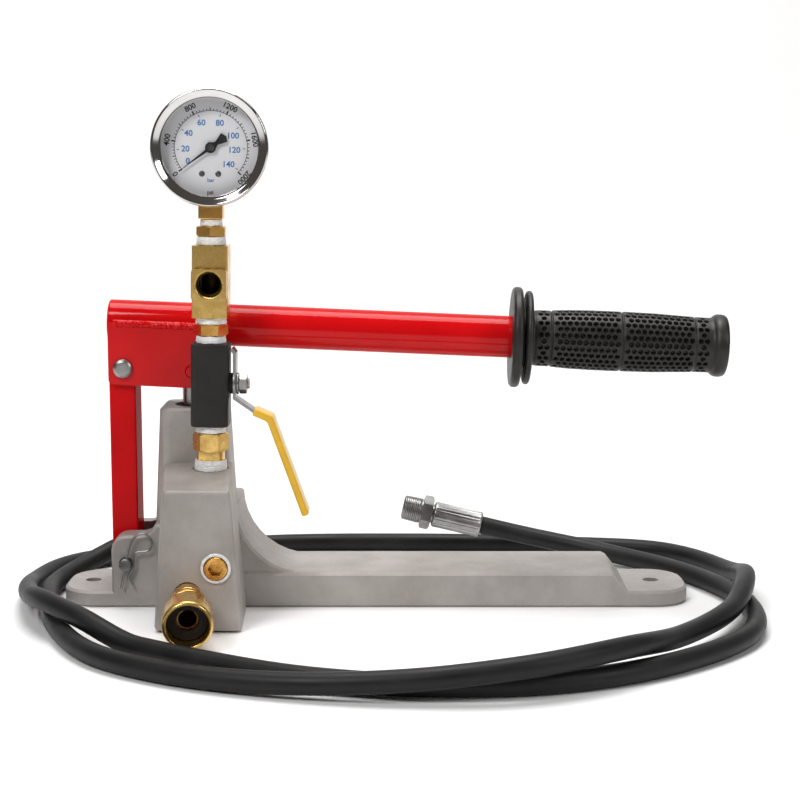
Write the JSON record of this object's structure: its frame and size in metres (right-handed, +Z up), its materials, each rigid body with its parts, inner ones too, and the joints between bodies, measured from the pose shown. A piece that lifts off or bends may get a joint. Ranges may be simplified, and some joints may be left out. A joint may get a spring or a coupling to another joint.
{
  "type": "hydraulic hand pump",
  "caption": "Lever-operated hydraulic test pump with a plunger in a cast base, shut-off valve, pressure gauge, swivel inlet and a long flexible hose.",
  "frame": {"origin": "on the floor, under the plunger's axis, on the base's underside", "axes": "+Z up along the plunger, +X along the base towards the handle's grip, -Y towards the inlet and the gauge's reader"},
  "size_m": [0.4521, 0.3519, 0.309],
  "materials": {
    "cast_aluminium": "sand-cast, grey, slightly dull",
    "red_paint": "glossy red paint",
    "brass": "machined, lightly tarnished",
    "black_valve": "matt black coating",
    "zinc_steel": "bright zinc plate",
    "polished_steel": "polished",
    "thread_tape": "wrinkled white PTFE tape",
    "black_rubber": "matt black, perforated on the grip",
    "yellow_vinyl": "dipped vinyl, satin",
    "dial_face": "printed grey",
    "gauge_lens": "clear, glossy",
    "needle_black": "matt black",
    "black_hose": "smooth black cover",
    "valve_seat": "white PTFE"
  },
  "bodies": {
    "pump_body": {"body_casting": "cast_aluminium", "inlet_adapter": "brass", "front_plug": "brass", "lower_nipple": "brass", "hex_nipple": "brass", "tee_body": "brass", "hex_bushing": "brass", "gauge_socket": "brass", "bourdon_tube": "brass", "outlet_elbow": "brass", "valve_body": "black_valve", "gland_nut": "zinc_steel", "lower_pin": "zinc_steel", "hitch_clip": "zinc_steel", "hose_stem_pump": "zinc_steel", "hose_ferrule_pump": "zinc_steel", "hose_stem_free": "zinc_steel", "hose_ferrule_free": "zinc_steel", "gauge_case": "polished_steel", "gauge_bezel": "polished_steel", "base_tape": "thread_tape", "valve_tape_lower": "thread_tape", "valve_tape_upper": "thread_tape", "tee_tape_lower": "thread_tape", "tee_tape_upper": "thread_tape", "gauge_tape": "thread_tape", "front_plug_tape": "thread_tape", "rod_packing": "black_rubber", "gauge_dial": "dial_face", "gauge_lens": "gauge_lens", "hose": "black_hose", "lower_seat": "valve_seat", "upper_seat": "valve_seat"},
    "link": {"link_arm": "red_paint"},
    "handle": {"handle_tube": "red_paint", "cheek_front": "red_paint", "cheek_rear": "red_paint", "upper_pin": "zinc_steel", "upper_pin_clip": "zinc_steel", "eye_pin": "red_paint", "eye_pin_clip": "zinc_steel", "grip_sleeve": "black_rubber"},
    "plunger": {"plunger": "polished_steel"},
    "valve_lever": {"valve_lever": "zinc_steel", "lever_sleeve": "yellow_vinyl", "lever_washer": "zinc_steel", "lever_nut": "zinc_steel", "valve_stem": "black_valve", "valve_ball": "polished_steel"},
    "needle": {"gauge_needle": "needle_black", "needle_hub": "zinc_steel"},
    "swivel": {"inlet_swivel_nut": "brass", "inlet_washer": "black_rubber"},
    "inlet_ball": {"inlet_check_ball": "zinc_steel"},
    "outlet_ball": {"outlet_check_ball": "zinc_steel"}
  },
  "joints": [
    {"name": "link_hinge", "type": "hinge", "parent": "pump_body", "child": "link", "pos_m": [-0.0402, 0, 0.027], "axis": [0, -1, 0], "range_deg": [-3.3, 0.85]},
    {"name": "handle_hinge", "type": "hinge", "parent": "link", "child": "handle", "pos_m": [-0.0416, 0, 0.1437], "axis": [0, -1, 0], "range_deg": [-10.8, 43.2]},
    {"name": "plunger_slide", "type": "slide", "parent": "pump_body", "child": "plunger", "axis": [0, 0, 1], "range_m": [-0.0072, 0.0281]},
    {"name": "valve_lever_hinge", "type": "hinge", "parent": "pump_body", "child": "valve_lever", "pos_m": [0.01311, -0.034, 0.1373], "axis": [-0.9998, 0, 0.0175], "range_deg": [0, 90]},
    {"name": "needle_hinge", "type": "hinge", "parent": "pump_body", "child": "needle", "pos_m": [0.01551, -0.034, 0.275], "axis": [0, 1, 0], "range_deg": [0, 270], "stiffness_Nm_per_rad": 0.002, "springref_deg": -11.46},
    {"name": "swivel_spin", "type": "hinge", "parent": "pump_body", "child": "swivel", "pos_m": [0.0036, -0.08695, 0.0215], "axis": [0.113, -0.9897, -0.0875], "continuous": true},
    {"name": "inlet_ball_slide", "type": "slide", "parent": "pump_body", "child": "inlet_ball", "axis": [-0.113, 0.9897, 0.0875], "range_m": [0, 0.0025]},
    {"name": "outlet_ball_slide", "type": "slide", "parent": "pump_body", "child": "outlet_ball", "axis": [0, 1, 0], "range_m": [0, 0.002]}
  ],
  "couplings": [
    {"joint": "link_hinge", "follows": "handle_hinge", "ratio": -0.0741},
    {"joint": "plunger_slide", "follows": "handle_hinge", "m_per_rad": 0.037}
  ]
}
